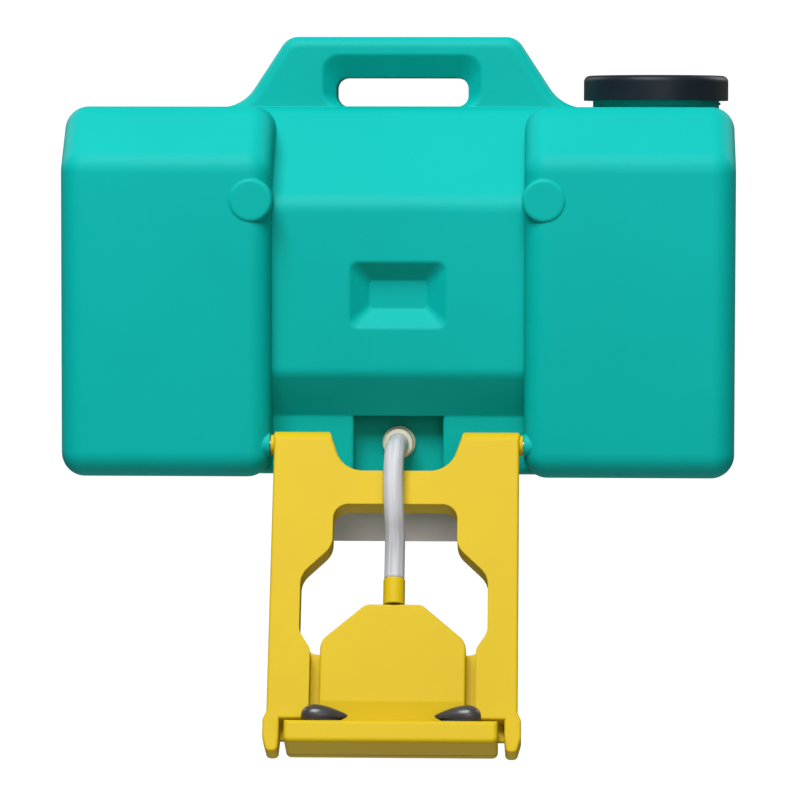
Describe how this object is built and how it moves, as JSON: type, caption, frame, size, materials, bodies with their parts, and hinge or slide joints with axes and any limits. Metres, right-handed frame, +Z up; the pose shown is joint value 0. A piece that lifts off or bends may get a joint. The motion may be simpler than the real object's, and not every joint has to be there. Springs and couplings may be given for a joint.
{
  "type": "eyewash station",
  "caption": "Wall-hung gravity eyewash: moulded tank with carry handle and screw cap, and a fold-down arm with twin spray heads fed by a short clear hose.",
  "frame": {"origin": "centre of the wall bracket's four screw holes, on the wall plane", "axes": "+Y into the wall, -Y towards the user, +Z up, +X to the right as the user faces the unit"},
  "size_m": [0.54, 0.4136, 0.5677],
  "materials": {
    "tank": "moulded polyethylene, soft sheen, fine matt skin",
    "cap": "black moulded plastic, smooth skirt",
    "seal_rubber": "black rubber",
    "filter": "white porous disc",
    "outlet": "cream moulded plastic",
    "nut_plastic": "white nylon",
    "strainer": "white slotted plastic",
    "steel": "stainless steel, bright",
    "brass": "plain brass",
    "bush": "yellow moulded nylon, like the arm",
    "arm": "yellow moulded plastic, soft sheen",
    "nozzle": "dark brown-black moulded plastic, satin",
    "hose": "milky clear flexible PVC",
    "bracket": "warm grey powder coat on sheet steel"
  },
  "bodies": {
    "tank": {"tank_shell": "tank", "outlet_socket": "outlet", "outlet_washer": "seal_rubber", "outlet_nut": "nut_plastic", "outlet_strainer": "strainer", "pivot_screw_left": "steel", "pivot_screw_right": "steel", "pivot_insert_left": "brass", "pivot_insert_right": "brass", "hose": "hose", "wall_bracket": "bracket", "gusset_left": "bracket", "gusset_right": "bracket", "bracket_rivets": "steel", "base_inserts": "brass", "base_washers": "steel", "base_screws": "steel"},
    "arm": {"arm_frame": "arm", "manifold_body": "arm", "manifold_back": "arm", "manifold_gasket": "seal_rubber", "manifold_screws": "steel", "hose_nipple": "arm", "nipple_seal": "seal_rubber", "nozzle_left": "nozzle", "nozzle_right": "nozzle", "nozzle_seals": "seal_rubber", "nozzle_nuts": "nut_plastic", "flow_discs": "steel", "pivot_bush_left": "bush", "pivot_bush_right": "bush"},
    "cap_seal": {"cap_gasket": "seal_rubber"},
    "cap": {"fill_cap": "cap", "vent_filter": "filter"}
  },
  "joints": [
    {"name": "arm_fold", "type": "hinge", "parent": "tank", "child": "arm", "pos_m": [0, -0.276, -0.084], "axis": [-1, 0, 0], "range_deg": [0, 155], "deforming": ["hose"]},
    {"name": "cap_lift", "type": "slide", "parent": "tank", "child": "cap_seal", "axis": [0, 0, 1], "range_m": [0, 0.02]},
    {"name": "cap_turn", "type": "hinge", "parent": "cap_seal", "child": "cap", "pos_m": [0.209, -0.15, 0.2], "axis": [0, 0, 1], "range_deg": [0, 900]}
  ],
  "couplings": [
    {"joint": "cap_turn", "follows": "cap_lift", "rad_per_m": 785.4}
  ]
}
